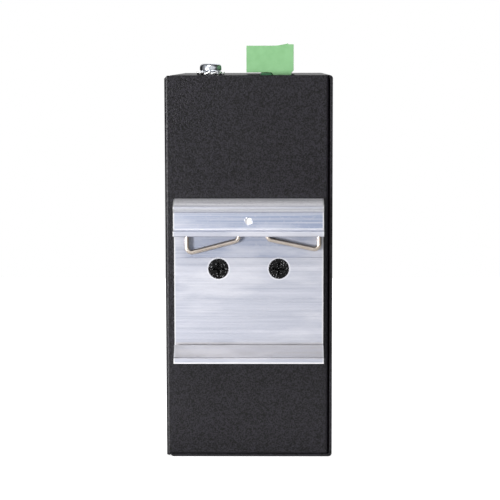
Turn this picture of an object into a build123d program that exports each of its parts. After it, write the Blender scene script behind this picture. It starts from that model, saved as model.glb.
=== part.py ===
from build123d import *
from math import cos, radians, sin
import os

os.makedirs("parts", exist_ok=True)

# Case, folded from powder-coated sheet steel
case_width = 50.0
case_height = 115.0
case_depth = 88.0
sheet = 0.8
inner_bend = 0.2
lap_gap = 0.3
seam_gap = 0.3
top_seam = 0.15
bottom_seam = 0.3
cover_trim = 0.4
cover_top_gap = 0.1
lip_width = 8.0
return_width = 10.0

# Rail clip, one aluminium extrusion
clip_width = 44.5
clip_height = 48.4
clip_base_z = 30.0
clip_reach = 9.0
clip_plate = 2.4
clip_recess = 0.4
channel_width = 2.6
channel_roof = 2.3
groove_width = 1.3
groove_depth = 1.2
hook_nose = 1.7
hook_tip_height = 4.85
hook_tip = 1.2
hook_slope = 0.2
hook_crest = 0.3
nose_round = 0.35
rim_round = 0.3
lip_edge_chamfer = 0.5
upper_lip_wall = 2.0
upper_lip_height = 10.6
flare_reach = 8.7
flare_height = 1.5
flare_slope = 0.5
lip_taper = 0.15
shoulder_bulge = 0.7
shoulder_drop = 1.9
shoulder_crown = 0.65
crease_drop = 3.65
ridge_bow = 0.12
recess_from_top = 17.5

# Spring wire behind the upper lip, with the arms as they sit in the picture
wire_diameter = 1.4
wire_bend = 1.5
wire_roof_gap = 0.9
wire_left = 18.35
wire_right = 20.95
wire_left_bend_z = 62.25
wire_right_bend_z = 63.3
wire_left_inner_z = 66.2
wire_right_inner_z = 66.55
arch_center = 1.3
arch_foot_width = 9.0
arch_top_width = 6.0
stake_diameter = 2.2
stake_dent = 0.7
stake_nub = 1.4
stake_x = 0.05
stake_from_top = 6.2
stake_taper = 20.0
nub_taper = 14.0
nub_gap = 0.3

# Clip screws and the press nuts behind them
clip_screw_spacing = 18.0
clip_screw_from_top = 20.8
m3_radius = 1.5
clip_screw_head_radius = 3.03
clip_screw_length = 6.0
press_nut_radius = 3.0
press_nut_length = 3.0
head_clearance = 0.06
thread_clearance = 0.05
hole_clearance = 0.2
nut_chamfer = 0.4
recess_width_share = 0.24
recess_reach_share = 0.6
recess_taper = 8.0
countersink_angle = 90.0
recess_depth_share = 0.7
pan_edge_share = 0.35
dome_arc = 90.0

# Flush screws that hold the cover
cover_screw_head_radius = 2.5
cover_screw_length = 5.0
cover_screw_inset = 12.0
cover_screw_from_edge = 4.8
return_screw_inset = 5.8
return_screw_from_edge = 22.0
collar_wall = 0.7
collar_height = 1.2

# Ground screw with its toothed lock washer
ground_x = -11.5
ground_inset = 9.5
ground_radius = 1.75
ground_head_radius = 3.25
ground_head_height = 2.4
ground_screw_length = 7.0
ground_slot_width = 1.0
ground_slot_depth = 1.2
washer_outer_radius = 4.15
washer_ring_radius = 3.0
washer_ring = 0.5
washer_teeth = 10
washer_tooth_width = 1.3
washer_tooth = 0.5
washer_twist = 28.0
ground_nut_radius = 3.4
ground_nut_length = 2.5

# Main board, parallel to the right side
board_thickness = 1.6
board_standoff = 9.0
board_back_gap = 4.0
board_front_gap = 1.2
board_top_gap = 3.2
board_bottom_gap = 3.0
board_hole_inset = 6.0
standoff_gap = 1.0
standoff_radius = 2.75
standoff_bore_depth = 7.0
board_screw_head_radius = 2.8
board_screw_head_height = 2.0
board_screw_length = 6.0

# Power connector on the top
poles = 6
pole_pitch = 5.08
plug_setback = 5.0
plug_width = 14.1
plug_height = 8.7
plug_peak = 9.35
plug_shelf = 9.1
plug_shelf_width = 1.5
plug_flat = 7.8
plug_underside = 0.75
plug_strip_drop = 1.35
plug_strip_chamfer = 0.75
plug_crest_run = 0.3
plug_floor = 0.8
nose_shoulder_rise = 0.15
nose_shoulder_run = 0.55
nose_thickness = 5.4
nose_depth = 7.5
nose_gap = 0.15
nose_shift = 0.7
header_board_wall = 0.7
header_key_wall = 3.6
header_rise = 0.55
header_length = 12.0
header_floor_gap = 0.3
mouth_chamfer = 0.7
key_width = 1.8
key_reach = 1.4
key_gap = 0.2
pin_width = 1.0
pin_hole_radius = 1.0
pin_top = 2.0
pin_fit = 0.05
pin_bend = 0.6
pin_behind_header = 1.3
pin_tail = 1.5
plug_travel = 9.0
cage_width = 3.7
cage_depth = 4.4
cage_height = 4.6
cage_wall = 0.6
cage_gap = 0.2
pocket_floor = 1.9
socket_width = 2.4
socket_bottom_gap = 0.2
socket_gap = 0.1
contact_bar = 0.6
contact_bar_width = 2.0
contact_bar_height = 4.2
clamp_head_radius = 1.8
clamp_head_length = 1.7
clamp_head_recess = 1.2
clamp_shank_radius = 1.0
clamp_bite = 1.4
clamp_hole_gap = 0.15
clamp_slot_width = 0.8
clamp_slot_depth = 0.8

# Network jack block, two rows of four on its side
jack_columns = 4
jack_pitch = 14.0
jack_end_wall = 0.8
jack_outer_wall = 1.5
jack_depth = 24.0
jack_proud = 0.6
jack_bottom_z = 14.5
jack_shield = 0.3
jack_opening_gap = 0.6
socket_row_web = 1.6
socket_opening_width = 11.9
socket_opening_height = 7.0
socket_latch_width = 6.2
socket_latch_height = 1.5
socket_key_width = 3.3
socket_key_height = 1.1
socket_depth = 14.5
contact_count = 8
contact_pitch = 1.02
contact_width = 0.45
contact_thickness = 0.3
contact_start = 3.0
contact_end = 11.0
contact_foot = 1.2
contact_rise = 1.9
port_lamp_width = 2.6
port_lamp_height = 1.4
port_lamp_length = 6.0
port_lamp_gap = 0.05
port_lamp_spacing = 9.6
port_lamp_row = 8.6
finger_width = 2.4
finger_length = 2.2
finger_reach = 0.3
finger_count = 4

# Status lamps above the jacks
status_lamps_count = 3
status_lamp_pitch = 5.0
status_lamp_radius = 1.5
status_lamp_proud = 0.4
status_lamp_height = 4.5
status_lamp_round = 0.6
lamp_holder_height = 7.0
lamp_holder_depth = 6.5
lamp_holder_gap = 1.4
lamp_leg_gap = 3.0

# Pieces on the board
chip_size = 20.0
chip_height = 2.0
chip_chamfer = 0.5
pad_thickness = 0.5
pad_margin = 2.0
sink_size = 27.0
sink_clearance = 4.8
sink_base = 2.0
sink_height = 10.0
sink_fins = 7
sink_fin = 1.2
transformer_length = 12.6
transformer_width = 7.2
transformer_height = 5.8
transformer_gap = 3.0
transformer_chamfer = 0.6
capacitor_radius = 4.0
capacitor_height = 11.5
capacitor_pitch = 8.5
capacitor_count = 3
capacitor_groove = 0.35
capacitor_rim = 2.0
capacitor_base = 0.5
capacitor_y_inset = 9.0
capacitor_drop = 13.2
inductor_size = 12.0
inductor_height = 6.5
inductor_corner = 2.5
inductor_cap = 1.2
inductor_waist = 0.8
inductor_gap = 1.1
inductor_drop = 14.7
relay_length = 15.0
relay_width = 7.6
relay_height = 10.0
relay_gap = 1.5
relay_drop = 15.7
relay_edge = 0.5
absorber_radius = 4.5
absorber_thickness = 4.0
absorber_lead = 0.4
absorber_lead_spacing = 5.0
absorber_lift = 1.2
absorber_count = 2
absorber_pitch = 12.0
absorber_inset = 13.0
absorber_drop = 5.7
crystal_length = 10.5
crystal_width = 4.4
crystal_height = 3.4
crystal_inset = 11.0
crystal_rise = 20.0
regulator_size = 5.0
regulator_height = 1.6
regulator_pitch = 7.5
regulator_count = 3
regulator_rise = 14.0

# Places that follow from the sizes
right_x = case_width / 2
left_x = -case_width / 2
back_y = (clip_reach - case_depth - jack_proud) / 2
front_y = back_y + case_depth
outer_bend = inner_bend + sheet
middle_bend = inner_bend + sheet / 2
tray_lip_x = left_x + sheet + lap_gap + sheet / 2
cover_right_x = right_x - sheet - lap_gap - sheet / 2
board_back_x = right_x - sheet - board_standoff
board_face_x = board_back_x - board_thickness
board_back_y = back_y + sheet + board_back_gap
board_front_y = front_y - sheet - board_front_gap
board_bottom_z = sheet + board_bottom_gap
board_top_z = case_height - sheet - board_top_gap
washer_twist_angle = radians(washer_twist)
washer_thickness = washer_tooth_width * sin(washer_twist_angle) + washer_tooth * cos(
    washer_twist_angle
)
clip_screw_z = clip_base_z + clip_height - clip_screw_from_top
clip_screw_x = clip_screw_spacing / 2
plug_start_y = back_y + plug_setback
plug_length = poles * pole_pitch
pole_levels = [plug_start_y + (i + 0.5) * pole_pitch for i in range(poles)]
nose_right_x = board_face_x - header_board_wall - nose_gap
nose_left_x = nose_right_x - nose_thickness
nose_center_x = (nose_left_x + nose_right_x) / 2
header_left_x = nose_left_x - nose_gap - header_key_wall
header_mouth_z = case_height + header_rise
header_base_z = header_mouth_z - header_length
header_floor_z = case_height - nose_depth - header_floor_gap
plug_right_x = nose_right_x + nose_shift
plug_left_x = plug_right_x - plug_width
block_length = jack_columns * jack_pitch + 2 * jack_end_wall
block_top_z = jack_bottom_z + block_length
jack_center_z = (jack_bottom_z + block_top_z) / 2
jack_block_height = 2 * (
    socket_row_web
    + socket_opening_height
    + socket_latch_height
    + socket_key_height
    + jack_outer_wall
)
block_left_x = board_face_x - jack_block_height
jack_front_y = front_y + jack_proud
jack_back_y = jack_front_y - jack_depth
row_middle_x = board_face_x - jack_block_height / 2
column_levels = [
    jack_center_z + (i - (jack_columns - 1) / 2) * jack_pitch for i in range(jack_columns)
]
lamp_holder_length = status_lamps_count * status_lamp_pitch
lamp_bottom_z = block_top_z + lamp_leg_gap
lamp_levels = [
    lamp_bottom_z + (i + 0.5) * status_lamp_pitch for i in range(status_lamps_count)
]
lamp_x = board_face_x - status_lamp_height
lamp_front_y = front_y + status_lamp_proud
holder_front_y = front_y - sheet - lamp_holder_gap
holder_back_y = holder_front_y - lamp_holder_depth
transformer_y = jack_back_y - transformer_gap - transformer_width / 2
transformer_back_y = transformer_y - transformer_width / 2
capacitor_y = board_back_y + capacitor_y_inset
chip_y = transformer_back_y - sink_clearance - sink_size / 2
relay_y = transformer_back_y - relay_gap - relay_width / 2
inductor_y = relay_y - relay_width / 2 - inductor_gap - inductor_size / 2
absorber_y = board_back_y + absorber_inset
crystal_y = board_back_y + crystal_inset
inductor_z = header_base_z - inductor_drop
relay_z = header_base_z - relay_drop
absorber_z = header_base_z - absorber_drop
crystal_z = board_bottom_z + crystal_rise
regulator_z = board_bottom_z + regulator_rise


def seen_from_back(y):
    """Drawing plane across the case, x to the right and z up, facing out of the back."""
    return Plane.XZ.offset(-y)


def seen_from_right(x):
    """Drawing plane along the case, y to the right and z up, facing out of the right side."""
    return Plane.YZ.offset(x)


def facing(x, y, z, direction):
    """Plane at a point whose upper side looks along the given direction."""
    return Plane(origin=(x, y, z), z_dir=direction)


def cross_recess(surface, width, reach, depth):
    """Cutter for a cross recess below a flat head."""
    with BuildPart() as recess:
        with BuildSketch(Plane.XY.offset(surface)):
            Rectangle(width, 2 * reach)
            Rectangle(2 * reach, width)
        extrude(amount=-depth, taper=recess_taper)
    return recess.part


def flat_head_screw(head_radius, shank_radius, length):
    """Cross-recess screw with a ninety degree flat head, its face at the origin, pointing down."""
    cone = head_radius - shank_radius
    with BuildPart() as screw:
        with BuildSketch(Plane.XZ):
            with BuildLine():
                Polyline(
                    (0, 0),
                    (head_radius, 0),
                    (shank_radius, -cone),
                    (shank_radius, -length),
                    (0, -length),
                    close=True,
                )
            make_face()
        revolve(axis=Axis.Z)
        add(
            cross_recess(
                0, head_radius * recess_width_share, head_radius * recess_reach_share, cone
            ),
            mode=Mode.SUBTRACT,
        )
    return screw.part


def pan_head_screw(head_radius, head_height, shank_radius, length):
    """Cross-recess screw with a domed head seated on the origin plane, pointing down."""
    edge_height = head_height * pan_edge_share
    with BuildPart() as screw:
        with BuildSketch(Plane.XZ):
            with BuildLine():
                Line((0, -length), (shank_radius, -length))
                Line((shank_radius, -length), (shank_radius, 0))
                Line((shank_radius, 0), (head_radius, 0))
                Line((head_radius, 0), (head_radius, edge_height))
                EllipticalCenterArc(
                    (0, edge_height),
                    head_radius,
                    head_height - edge_height,
                    start_angle=0,
                    arc_size=dome_arc,
                )
                Line((0, head_height), (0, -length))
            make_face()
        revolve(axis=Axis.Z)
        add(
            cross_recess(
                head_height,
                head_radius * recess_width_share,
                head_radius * recess_reach_share,
                head_height * recess_depth_share,
            ),
            mode=Mode.SUBTRACT,
        )
    return screw.part


def press_nut(radius, length, shank_radius):
    """Round nut seated on the origin plane and standing up from it."""
    with BuildPart() as nut:
        with BuildSketch():
            Circle(radius)
            Circle(shank_radius + thread_clearance, mode=Mode.SUBTRACT)
        extrude(amount=length)
        chamfer(nut.edges().group_by(Axis.Z)[-1].sort_by(SortBy.LENGTH)[-1], nut_chamfer)
    return nut.part


# Cover: left side and back folded from one sheet
cover_screw_levels = [cover_screw_from_edge, case_height - cover_screw_from_edge]
cover_screw_places = [
    facing(left_x, y, z, (-1, 0, 0))
    for y in (back_y + cover_screw_inset, front_y - cover_screw_inset)
    for z in cover_screw_levels
]
return_screw_places = [
    facing(right_x, back_y + return_screw_inset, z, (1, 0, 0))
    for z in (return_screw_from_edge, case_height - return_screw_from_edge)
]
clip_screw_places = [
    facing(x, back_y - clip_plate, clip_screw_z, (0, -1, 0))
    for x in (-clip_screw_x, clip_screw_x)
]

with BuildPart() as cover:
    with BuildSketch(Plane.XY.offset(cover_trim)):
        with BuildLine():
            FilletPolyline(
                (left_x + sheet / 2, front_y),
                (left_x + sheet / 2, back_y + sheet / 2),
                (cover_right_x, back_y + sheet / 2),
                (cover_right_x, back_y + return_width),
                radius=middle_bend,
            )
        trace(line_width=sheet)
    extrude(amount=case_height - cover_trim - cover_top_gap)
    # the back stops short of the tray's bottom edge
    with BuildSketch(seen_from_back(back_y)):
        with Locations((left_x + sheet + lap_gap, 0)):
            Rectangle(case_width, sheet + bottom_seam, align=(Align.MIN, Align.MIN))
    extrude(amount=-return_width, mode=Mode.SUBTRACT)
    # the folded edge stops under the tray's top, which ends behind the back
    with BuildSketch(seen_from_back(back_y + sheet)):
        with Locations((left_x + sheet + lap_gap, case_height)):
            Rectangle(case_width, sheet + top_seam, align=(Align.MIN, Align.MAX))
    extrude(amount=-return_width, mode=Mode.SUBTRACT)
    # the side stops where the tray's top bends down, with a cut corner at the back
    with BuildSketch(seen_from_back(back_y + outer_bend)):
        with Locations((left_x, case_height)):
            Rectangle(sheet, outer_bend, align=(Align.MIN, Align.MAX))
    extrude(amount=-case_depth, mode=Mode.SUBTRACT)
    with BuildSketch(seen_from_back(back_y)):
        with BuildLine():
            Polyline(
                (left_x, case_height - outer_bend),
                (left_x + outer_bend, case_height),
                (left_x, case_height),
                close=True,
            )
        make_face()
    extrude(amount=-outer_bend, mode=Mode.SUBTRACT)
    # threaded collars in the folded edge
    with Locations(
        *[
            facing(cover_right_x - sheet / 2, place.origin.Y, place.origin.Z, (-1, 0, 0))
            for place in return_screw_places
        ]
    ):
        Cylinder(
            m3_radius + collar_wall,
            collar_height,
            align=(Align.CENTER, Align.CENTER, Align.MIN),
        )
    with Locations(*return_screw_places):
        Hole(m3_radius + thread_clearance, depth=2 * sheet + lap_gap + collar_height)
    # countersunk holes in the side
    with Locations(*cover_screw_places):
        CounterSinkHole(
            m3_radius + hole_clearance,
            cover_screw_head_radius + head_clearance,
            depth=sheet,
            counter_sink_angle=countersink_angle,
        )
    # holes behind the clip screws
    with Locations(*[facing(p.origin.X, back_y, p.origin.Z, (0, -1, 0)) for p in clip_screw_places]):
        Hole(m3_radius + hole_clearance, depth=sheet)

cover.part.label = "cover"
export_step(cover.part, "parts/cover.step")


# Tray: top, right side, bottom and front folded from one sheet, with lips under the cover
jack_opening_left_x = block_left_x - jack_opening_gap
jack_opening_width = jack_block_height + 2 * jack_opening_gap
front_lip_low_z = lip_width + seam_gap
front_lip_high_z = case_height - lip_width - seam_gap

with BuildPart() as tray:
    with BuildSketch(seen_from_back(back_y)):
        with BuildLine():
            FilletPolyline(
                (tray_lip_x, case_height - lip_width),
                (tray_lip_x, case_height - sheet / 2),
                (right_x - sheet / 2, case_height - sheet / 2),
                (right_x - sheet / 2, sheet / 2),
                (tray_lip_x, sheet / 2),
                (tray_lip_x, lip_width),
                radius=middle_bend,
            )
        trace(line_width=sheet)
    extrude(amount=-case_depth)
    # corner reliefs where the front wall is folded up
    with BuildSketch():
        with Locations((right_x, front_y)):
            Rectangle(outer_bend, outer_bend, align=(Align.MAX, Align.MAX))
    extrude(amount=case_height, mode=Mode.SUBTRACT)
    # the top stops short of the back of the cover
    with BuildSketch(Plane.XY.offset(case_height)):
        with Locations((left_x, back_y)):
            Rectangle(case_width - outer_bend, sheet + top_seam, align=(Align.MIN, Align.MIN))
    extrude(amount=-sheet, mode=Mode.SUBTRACT)
    # the lips stop short of the back of the cover and of the front wall
    with BuildSketch(Plane.XY.offset(sheet)):
        with Locations((left_x, back_y)):
            Rectangle(
                2 * sheet + lap_gap + inner_bend,
                sheet + lap_gap,
                align=(Align.MIN, Align.MIN),
            )
        with Locations((left_x, front_y)):
            Rectangle(
                2 * sheet + lap_gap + inner_bend,
                outer_bend + seam_gap,
                align=(Align.MIN, Align.MAX),
            )
    extrude(amount=case_height - 2 * sheet, mode=Mode.SUBTRACT)
    # front wall
    with BuildSketch(Plane.XY.offset(sheet + seam_gap)):
        with BuildLine():
            FilletPolyline(
                (right_x - sheet / 2, front_y - 2 * outer_bend),
                (right_x - sheet / 2, front_y - sheet / 2),
                (tray_lip_x + middle_bend, front_y - sheet / 2),
                radius=middle_bend,
            )
        trace(line_width=sheet)
    extrude(amount=case_height - 2 * (sheet + seam_gap))
    # lip along the front wall's open edge
    with BuildSketch(Plane.XY.offset(front_lip_low_z)):
        with BuildLine():
            FilletPolyline(
                (tray_lip_x + 2 * outer_bend, front_y - sheet / 2),
                (tray_lip_x, front_y - sheet / 2),
                (tray_lip_x, front_y - lip_width),
                radius=middle_bend,
            )
        trace(line_width=sheet)
    extrude(amount=front_lip_high_z - front_lip_low_z)
    # opening for the jack block
    with BuildSketch(seen_from_back(front_y)):
        with Locations((jack_opening_left_x, jack_bottom_z - jack_opening_gap)):
            Rectangle(
                jack_opening_width,
                block_length + 2 * jack_opening_gap,
                align=(Align.MIN, Align.MIN),
            )
        with Locations(*[(lamp_x, z) for z in lamp_levels]):
            Circle(status_lamp_radius + hole_clearance)
    extrude(amount=sheet, mode=Mode.SUBTRACT)
    # opening for the power header and hole for the ground screw
    with BuildSketch(Plane.XY.offset(case_height)):
        with Locations((header_left_x - lap_gap, plug_start_y - lap_gap)):
            Rectangle(
                board_face_x - header_left_x + 2 * lap_gap,
                plug_length + 2 * lap_gap,
                align=(Align.MIN, Align.MIN),
            )
        with Locations((ground_x, back_y + ground_inset)):
            Circle(ground_radius + hole_clearance)
    extrude(amount=-sheet, mode=Mode.SUBTRACT)
    # threaded collars in the lips
    with Locations(
        *[
            facing(tray_lip_x + sheet / 2, place.origin.Y, place.origin.Z, (1, 0, 0))
            for place in cover_screw_places
        ]
    ):
        Cylinder(
            m3_radius + collar_wall,
            collar_height,
            align=(Align.CENTER, Align.CENTER, Align.MIN),
        )
    with Locations(*cover_screw_places):
        Hole(m3_radius + thread_clearance, depth=2 * sheet + lap_gap + collar_height)
    # countersunk holes over the cover's folded edge
    with Locations(*return_screw_places):
        CounterSinkHole(
            m3_radius + hole_clearance,
            cover_screw_head_radius + head_clearance,
            depth=sheet,
            counter_sink_angle=countersink_angle,
        )

tray.part.label = "tray"
export_step(tray.part, "parts/tray.step")


# Cover screws: flush in the two sides
cover_screw = flat_head_screw(cover_screw_head_radius, m3_radius, cover_screw_length)

with BuildPart() as cover_screws:
    with Locations(*cover_screw_places, *return_screw_places):
        add(cover_screw)

cover_screws.part.label = "cover_screws"
export_step(cover_screws.part, "parts/cover_screws.step")


# DIN clip: drawn as its end section, out from the back and up from its lower edge
clip_plane = Plane(
    origin=(clip_width / 2, back_y, clip_base_z), x_dir=(0, -1, 0), z_dir=(-1, 0, 0)
)
plate_top = clip_plate - clip_recess
hook_tip_out = clip_plate + groove_width
lip_inner = plate_top + channel_width
lip_outer = lip_inner + upper_lip_wall
lip_bottom = clip_height - upper_lip_height
flare_top = lip_bottom + flare_height
channel_top = clip_height - channel_roof
shoulder_out = lip_outer + shoulder_bulge
shoulder_up = clip_height - shoulder_drop
crease_up = clip_height - crease_drop
stake_z = clip_base_z + clip_height - stake_from_top

with BuildPart() as din_clip:
    with BuildSketch(clip_plane):
        with BuildLine():
            # lower hook, with its ramp down from the tip to the nose
            hook = Polyline(
                (0, 0),
                (clip_reach, 0),
                (clip_reach, hook_nose),
                (clip_reach - hook_tip, hook_nose + hook_slope),
                (hook_tip_out + hook_crest, hook_tip_height),
                (hook_tip_out, hook_tip_height - hook_crest),
                (hook_tip_out, hook_tip_height - groove_depth),
                (clip_plate, hook_tip_height - groove_depth),
            )
            # plate, stepped back above the screws
            plate = Polyline(
                hook @ 1,
                (clip_plate, clip_height - recess_from_top),
                (plate_top, clip_height - recess_from_top),
                (plate_top, channel_top - channel_width / 2),
            )
            channel = ThreePointArc(
                plate @ 1,
                (plate_top + channel_width / 2, channel_top),
                (lip_inner, channel_top - channel_width / 2),
            )
            # upper lip with its flared rim, and the rounded shoulder over it
            upper_lip = Polyline(
                channel @ 1,
                (lip_inner, lip_bottom + lip_edge_chamfer),
                (lip_inner + lip_edge_chamfer, lip_bottom),
                (flare_reach, lip_bottom),
                (flare_reach, flare_top),
                (lip_outer, flare_top + flare_slope),
                (lip_outer - lip_taper, crease_up),
            )
            ridge = ThreePointArc(
                upper_lip @ 1,
                (shoulder_out - ridge_bow, (crease_up + shoulder_up) / 2),
                (shoulder_out, shoulder_up),
            )
            shoulder = ThreePointArc(
                ridge @ 1,
                ((shoulder_out + plate_top) / 2 + shoulder_crown, clip_height - shoulder_crown),
                (plate_top, clip_height),
            )
            Polyline(shoulder @ 1, (0, clip_height), (0, 0))
        make_face()
    extrude(amount=clip_width)
    # rounded nose and rims
    outward = din_clip.edges().filter_by(Axis.X).group_by(Axis.Y)
    fillet(outward[0], nose_round)
    fillet(outward[1], rim_round)
    # staked dent that keeps the wire in the channel
    with BuildSketch(facing(stake_x, back_y - lip_inner, stake_z, (0, 1, 0))):
        Circle(stake_diameter / 2)
    extrude(amount=stake_nub, taper=nub_taper)
    with BuildSketch(facing(stake_x, back_y - lip_outer, stake_z, (0, -1, 0))):
        Circle(stake_diameter / 2)
    extrude(amount=-stake_dent, taper=stake_taper, mode=Mode.SUBTRACT)
    with Locations(*clip_screw_places):
        CounterSinkHole(
            m3_radius + hole_clearance,
            clip_screw_head_radius + head_clearance,
            depth=clip_plate,
            counter_sink_angle=countersink_angle,
        )

din_clip.part.label = "din_clip"
export_step(din_clip.part, "parts/din_clip.step")


# Clip spring: one bent wire with two arms that press on the rail's upper edge
wire_y = back_y - plate_top - channel_width / 2
wire_top_z = clip_base_z + channel_top - wire_roof_gap - wire_diameter / 2
arch_top_z = stake_z + stake_diameter / 2 + nub_gap / 2 + wire_diameter / 2

with BuildPart() as clip_spring:
    with BuildLine(seen_from_back(wire_y)):
        FilletPolyline(
            (-wire_left, wire_top_z),
            (-wire_left, wire_left_bend_z),
            (arch_center - arch_foot_width / 2, wire_left_inner_z),
            (arch_center - arch_top_width / 2, arch_top_z),
            (arch_center + arch_top_width / 2, arch_top_z),
            (arch_center + arch_foot_width / 2, wire_right_inner_z),
            (wire_right, wire_right_bend_z),
            (wire_right, wire_top_z),
            radius=wire_bend,
        )
    with BuildSketch(facing(-wire_left, wire_y, wire_top_z, (0, 0, 1))):
        Circle(wire_diameter / 2)
    sweep()

clip_spring.part.label = "clip_spring"
export_step(clip_spring.part, "parts/clip_spring.step")


# Clip screws and their press nuts
clip_screw = flat_head_screw(clip_screw_head_radius, m3_radius, clip_screw_length)

with BuildPart() as clip_screws:
    with Locations(*clip_screw_places):
        add(clip_screw)

clip_screws.part.label = "clip_screws"
export_step(clip_screws.part, "parts/clip_screws.step")

with BuildPart() as clip_nuts:
    with Locations(
        *[facing(p.origin.X, back_y + sheet, p.origin.Z, (0, 1, 0)) for p in clip_screw_places]
    ):
        add(press_nut(press_nut_radius, press_nut_length, m3_radius))

clip_nuts.part.label = "clip_nuts"
export_step(clip_nuts.part, "parts/clip_nuts.step")


# Ground screw, lock washer and press nut on the top
ground_place = (ground_x, back_y + ground_inset)

with BuildPart() as ground_screw:
    with Locations((*ground_place, case_height + washer_thickness)):
        add(
            pan_head_screw(
                ground_head_radius, ground_head_height, ground_radius, ground_screw_length
            )
        )
    with BuildSketch(Plane.XY.offset(case_height + washer_thickness + ground_head_height)):
        with Locations(ground_place):
            Rectangle(ground_slot_width, 2 * ground_head_radius)
    extrude(amount=-ground_slot_depth, mode=Mode.SUBTRACT)

ground_screw.part.label = "ground_screw"
export_step(ground_screw.part, "parts/ground_screw.step")

washer_middle_z = case_height + washer_thickness / 2
tooth_reach = washer_outer_radius - washer_ring_radius + washer_ring

with BuildPart() as ground_lock_washer:
    with BuildSketch(Plane.XY.offset(washer_middle_z - washer_ring / 2)):
        with Locations(ground_place):
            Circle(washer_ring_radius)
            Circle(ground_radius + hole_clearance, mode=Mode.SUBTRACT)
    extrude(amount=washer_ring)
    with Locations(Location((*ground_place, washer_middle_z))):
        with PolarLocations(washer_outer_radius - tooth_reach / 2, washer_teeth):
            Box(tooth_reach, washer_tooth_width, washer_tooth, rotation=(washer_twist, 0, 0))

ground_lock_washer.part.label = "ground_lock_washer"
export_step(ground_lock_washer.part, "parts/ground_lock_washer.step")

with BuildPart() as ground_nut:
    with Locations(facing(*ground_place, case_height - sheet, (0, 0, -1))):
        add(press_nut(ground_nut_radius, ground_nut_length, ground_radius))

ground_nut.part.label = "ground_nut"
export_step(ground_nut.part, "parts/ground_nut.step")


# Main board with its mounting holes and the holes for the header pins
board_hole_back_y = back_y + return_width + standoff_radius + standoff_gap
board_hole_front_y = holder_back_y - board_screw_head_radius - standoff_gap
board_hole_high_z = header_base_z - 2 * board_hole_inset
board_hole_places = [
    (board_hole_back_y, board_bottom_z + board_hole_inset),
    (board_hole_front_y, board_bottom_z + board_hole_inset),
    (board_hole_front_y, board_top_z - board_hole_inset),
    (board_hole_back_y, board_hole_high_z),
]
pin_leg_z = header_base_z - pin_behind_header

with BuildPart() as main_board:
    with BuildSketch(seen_from_right(board_face_x)):
        with Locations((board_back_y, board_bottom_z)):
            Rectangle(
                board_front_y - board_back_y,
                board_top_z - board_bottom_z,
                align=(Align.MIN, Align.MIN),
            )
        with Locations(*board_hole_places):
            Circle(m3_radius + hole_clearance, mode=Mode.SUBTRACT)
        with Locations(*[(y, pin_leg_z) for y in pole_levels]):
            Circle(pin_hole_radius, mode=Mode.SUBTRACT)
    extrude(amount=board_thickness)

main_board.part.label = "main_board"
export_step(main_board.part, "parts/main_board.step")

with BuildPart() as board_standoffs:
    with BuildSketch(seen_from_right(board_back_x)):
        with Locations(*board_hole_places):
            RegularPolygon(standoff_radius, 6, major_radius=False)
    extrude(amount=board_standoff)
    with BuildSketch(seen_from_right(board_back_x)):
        with Locations(*board_hole_places):
            Circle(m3_radius + thread_clearance)
    extrude(amount=standoff_bore_depth, mode=Mode.SUBTRACT)

board_standoffs.part.label = "board_standoffs"
export_step(board_standoffs.part, "parts/board_standoffs.step")

board_screw = pan_head_screw(
    board_screw_head_radius, board_screw_head_height, m3_radius, board_screw_length
)

with BuildPart() as board_screws:
    with Locations(*[facing(board_face_x, y, z, (-1, 0, 0)) for y, z in board_hole_places]):
        add(board_screw)

board_screws.part.label = "board_screws"
export_step(board_screws.part, "parts/board_screws.step")


# Power header: open-ended channel with a keyed outer wall
cavity_right_x = nose_right_x + nose_gap
cavity_left_x = nose_left_x - nose_gap

with BuildPart() as power_header:
    with BuildSketch(seen_from_back(plug_start_y)):
        with BuildLine():
            Polyline(
                (header_left_x, header_base_z),
                (board_face_x, header_base_z),
                (board_face_x, case_height - sheet),
                (cavity_right_x, case_height - sheet),
                (cavity_right_x, header_floor_z),
                (cavity_left_x, header_floor_z),
                (cavity_left_x, header_mouth_z - mouth_chamfer),
                (cavity_left_x - mouth_chamfer, header_mouth_z),
                (header_left_x, header_mouth_z),
                close=True,
            )
        make_face()
    extrude(amount=-plug_length)
    with BuildSketch(Plane.XY.offset(header_mouth_z)):
        with Locations(*[(cavity_left_x, y) for y in pole_levels]):
            Rectangle(
                key_reach + key_gap - nose_gap,
                key_width + 2 * key_gap,
                align=(Align.MAX, Align.CENTER),
            )
    extrude(amount=header_floor_z - header_mouth_z, mode=Mode.SUBTRACT)
    with BuildSketch(Plane.XY.offset(header_floor_z)):
        with Locations(*[(nose_center_x, y) for y in pole_levels]):
            Rectangle(pin_width + 2 * pin_fit, pin_width + 2 * pin_fit)
    extrude(amount=header_base_z - header_floor_z, mode=Mode.SUBTRACT)

power_header.part.label = "power_header"
export_step(power_header.part, "parts/power_header.step")

with BuildPart() as header_pins:
    for pole_y in pole_levels:
        with BuildSketch(seen_from_back(pole_y - pin_width / 2)):
            with BuildLine():
                FilletPolyline(
                    (nose_center_x, case_height - pin_top),
                    (nose_center_x, pin_leg_z),
                    (board_back_x + pin_tail, pin_leg_z),
                    radius=pin_bend,
                )
            trace(line_width=pin_width)
        extrude(amount=-pin_width)

header_pins.part.label = "header_pins"
export_step(header_pins.part, "parts/header_pins.step")


# Power plug: moulded body with a wire pocket, a screw hole and a socket for each pole
pocket_width = cage_width + 2 * cage_gap
pocket_depth = cage_depth + 2 * cage_gap
pocket_right_x = nose_center_x + contact_bar + cage_wall + cage_gap
pocket_left_x = pocket_right_x - pocket_depth
pocket_middle_x = (pocket_left_x + pocket_right_x) / 2
pocket_floor_z = case_height + pocket_floor
cage_base_z = pocket_floor_z + cage_gap
clamp_z = cage_base_z + cage_height / 2
nose_bottom_z = case_height - nose_depth
shelf_left_x = plug_right_x - plug_shelf_width
crest_x = shelf_left_x - plug_crest_run
channel_floor_z = nose_bottom_z + plug_floor
channel_size = socket_width + 2 * socket_gap

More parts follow.
